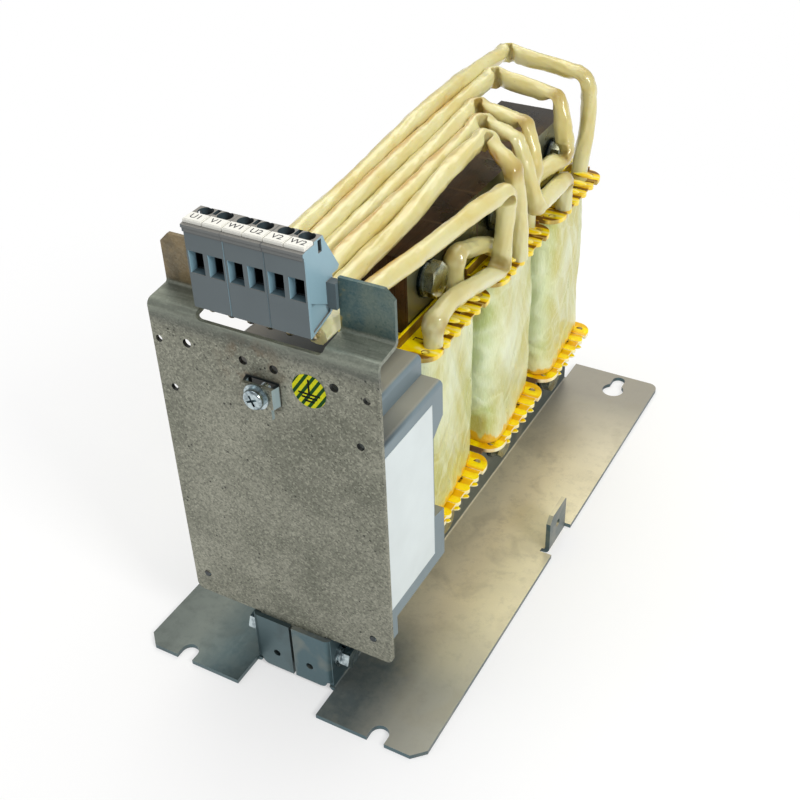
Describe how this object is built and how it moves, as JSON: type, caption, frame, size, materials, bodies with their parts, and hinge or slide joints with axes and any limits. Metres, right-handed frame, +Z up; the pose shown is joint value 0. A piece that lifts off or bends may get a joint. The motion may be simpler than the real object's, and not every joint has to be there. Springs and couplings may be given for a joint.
{
  "type": "sine wave filter",
  "caption": "Three-phase choke on a folded bracket, with a capacitor box and a terminal block in front and sleeved winding leads over the core.",
  "frame": {"origin": "under the middle of the base, on the surface that it stands on", "axes": "+X across, +Y from the terminal side to the rear, +Z up"},
  "size_m": [0.13, 0.268, 0.1999],
  "materials": {
    "zinc_sheet": "satin zinc with fine specks",
    "zinc_plate": "galvanised, mottled",
    "core_steel": "varnished lamination edges",
    "gap_paper": "dark insulating strip",
    "bobbin_resin": "resin-soaked moulding",
    "coil_tape": "crinkled varnished tape",
    "bright_zinc": "bright zinc",
    "black_steel": "black oxide",
    "box_grey": "moulded, fine texture",
    "label_white": "blank satin film",
    "sticker": "yellow and green film",
    "block_grey": "moulded",
    "tag_white": "printed tag",
    "clamp_steel": "zinc",
    "sleeve": "varnished sleeve",
    "tinned_wire": "tinned"
  },
  "bodies": {
    "root": {"base_bracket_right": "zinc_sheet", "base_bracket_left": "zinc_sheet", "core_leg_front": "core_steel", "core_leg_middle": "core_steel", "core_leg_rear": "core_steel", "core_yoke_upper": "core_steel", "core_yoke_lower": "core_steel", "gap_spacers": "gap_paper", "bobbin_front": "bobbin_resin", "bobbin_middle": "bobbin_resin", "bobbin_rear": "bobbin_resin", "winding_front": "coil_tape", "winding_middle": "coil_tape", "winding_rear": "coil_tape", "upper_core_bolts": "bright_zinc", "lower_core_bolts": "bright_zinc", "core_flat_washers": "black_steel", "core_spring_washers": "bright_zinc", "core_nuts": "bright_zinc", "front_plate": "zinc_plate", "earth_sticker": "sticker", "earth_screw": "bright_zinc", "earth_washer": "bright_zinc", "plate_screws": "bright_zinc", "plate_flat_washers": "bright_zinc", "plate_spring_washers": "bright_zinc", "plate_nuts": "bright_zinc", "capacitor_box": "box_grey", "blank_label": "label_white", "terminal_module_left": "block_grey", "terminal_module_middle": "block_grey", "terminal_module_right": "block_grey", "marker_tags": "tag_white", "clamp_screws": "clamp_steel", "lead_u1": "sleeve", "lead_v1": "sleeve", "lead_w1": "sleeve", "lead_u2": "sleeve", "lead_v2": "sleeve", "lead_w2": "sleeve", "lead_tails": "tinned_wire"}
  },
  "joints": []
}
